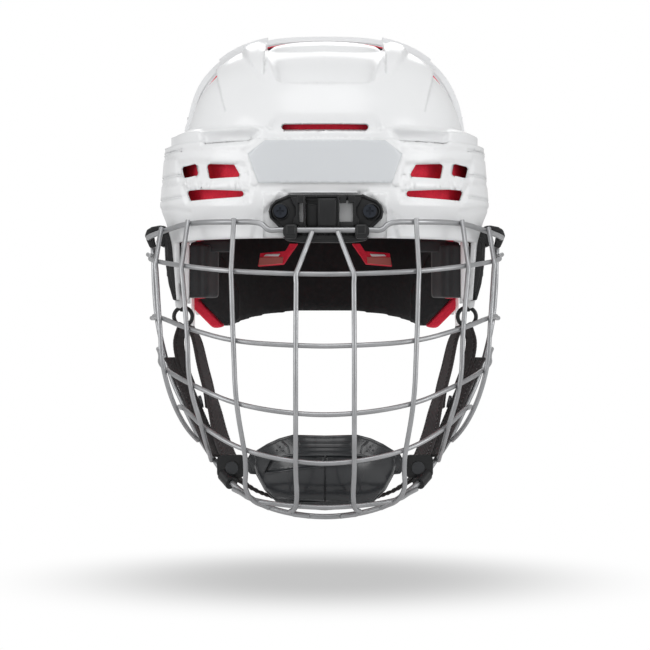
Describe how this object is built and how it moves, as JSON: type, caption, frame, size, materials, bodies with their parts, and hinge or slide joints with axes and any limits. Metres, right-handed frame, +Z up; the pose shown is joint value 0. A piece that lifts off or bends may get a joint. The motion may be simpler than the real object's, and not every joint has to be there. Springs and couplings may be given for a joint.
{
  "type": "ice hockey helmet",
  "caption": "Two-part ice hockey helmet with a sliding size setting, foam liner, chin strap and a hinged wire face guard with a chin cup.",
  "frame": {"origin": "centre of the wearer's head, level with the brow's lower edge", "axes": "+X to the wearer's left, +Y to the back of the head, +Z up"},
  "size_m": [0.235, 0.3022, 0.3033],
  "materials": {
    "white_shell": "semi-gloss",
    "red_foam": "expanded foam",
    "black_foam": "soft foam",
    "grey_pad": "soft foam",
    "silver_wire": "silver paint",
    "dark_cup": "gloss",
    "black_metal": "black",
    "webbing": "woven",
    "clear_plastic": "clear",
    "black_plastic": "moulded"
  },
  "bodies": {
    "front_half": {"brow_pad": "black_foam", "crown_pad": "black_foam", "ear_guard_left": "clear_plastic", "ear_guard_right": "clear_plastic", "ear_rivets": "clear_plastic", "front_base_foam": "red_foam", "front_shell": "white_shell", "mount_bracket": "black_plastic", "mount_nuts": "black_metal", "mount_screws": "black_metal", "side_hook_left": "black_plastic", "side_hook_right": "black_plastic", "side_nuts": "black_metal", "side_screws": "black_metal", "strap_anchor_left": "black_plastic", "strap_anchor_right": "black_plastic", "temple_pad_left": "grey_pad", "temple_pad_right": "grey_pad"},
    "rear_half": {"rear_shell": "white_shell", "rear_base_foam": "red_foam", "rear_liner": "black_foam", "size_screws": "black_metal", "size_nuts": "black_metal"},
    "face_guard": {"guard_cross_wire_1": "silver_wire", "guard_cross_wire_2": "silver_wire", "guard_cross_wire_3": "silver_wire", "guard_cross_wire_4": "silver_wire", "guard_cross_wire_5": "silver_wire", "guard_frame_wire": "silver_wire", "guard_lower_strap_left": "webbing", "guard_lower_strap_right": "webbing", "guard_snap_left": "black_metal", "guard_snap_right": "black_metal", "guard_strap_left": "webbing", "guard_strap_right": "webbing", "guard_upright_1_left": "silver_wire", "guard_upright_1_right": "silver_wire", "guard_upright_2_left": "silver_wire", "guard_upright_2_right": "silver_wire", "guard_upright_3_left": "silver_wire", "guard_upright_3_right": "silver_wire", "guard_upright_4_left": "silver_wire", "guard_upright_4_right": "silver_wire", "chin_tab_left": "black_plastic", "chin_tab_right": "black_plastic", "tab_snaps": "black_metal", "cup_strap": "webbing"},
    "chin_cup": {"chin_cup": "dark_cup", "chin_cup_foam": "black_foam"},
    "lock_slider": {"lock_slider": "black_plastic"},
    "strap_left": {"chin_strap_left": "webbing", "strap_ring_left": "black_plastic", "strap_snap_left": "black_metal"},
    "strap_right": {"chin_strap_right": "webbing", "strap_ring_right": "black_plastic", "strap_snap_right": "black_metal"}
  },
  "joints": [
    {"name": "guard_hinge", "type": "hinge", "parent": "front_half", "child": "face_guard", "pos_m": [0, -0.136, -0.00066], "axis": [-1, 0, 0], "range_deg": [0, 110]},
    {"name": "size_slide", "type": "slide", "parent": "front_half", "child": "rear_half", "axis": [0, 1, 0], "range_m": [0, 0.015]},
    {"name": "lock_slide", "type": "slide", "parent": "front_half", "child": "lock_slider", "axis": [-1, 0, 0], "range_m": [0, 0.007]},
    {"name": "cup_tilt", "type": "hinge", "parent": "face_guard", "child": "chin_cup", "pos_m": [0, -0.082, -0.1445], "axis": [1, 0, 0], "range_deg": [-6, 6]},
    {"name": "strap_swing_left", "type": "hinge", "parent": "front_half", "child": "strap_left", "pos_m": [0.0917, -0.013, -0.0457], "axis": [1, 0, 0], "range_deg": [0, 25]},
    {"name": "strap_swing_right", "type": "hinge", "parent": "front_half", "child": "strap_right", "pos_m": [-0.0917, -0.013, -0.0457], "axis": [1, 0, 0], "range_deg": [0, 25]}
  ]
}
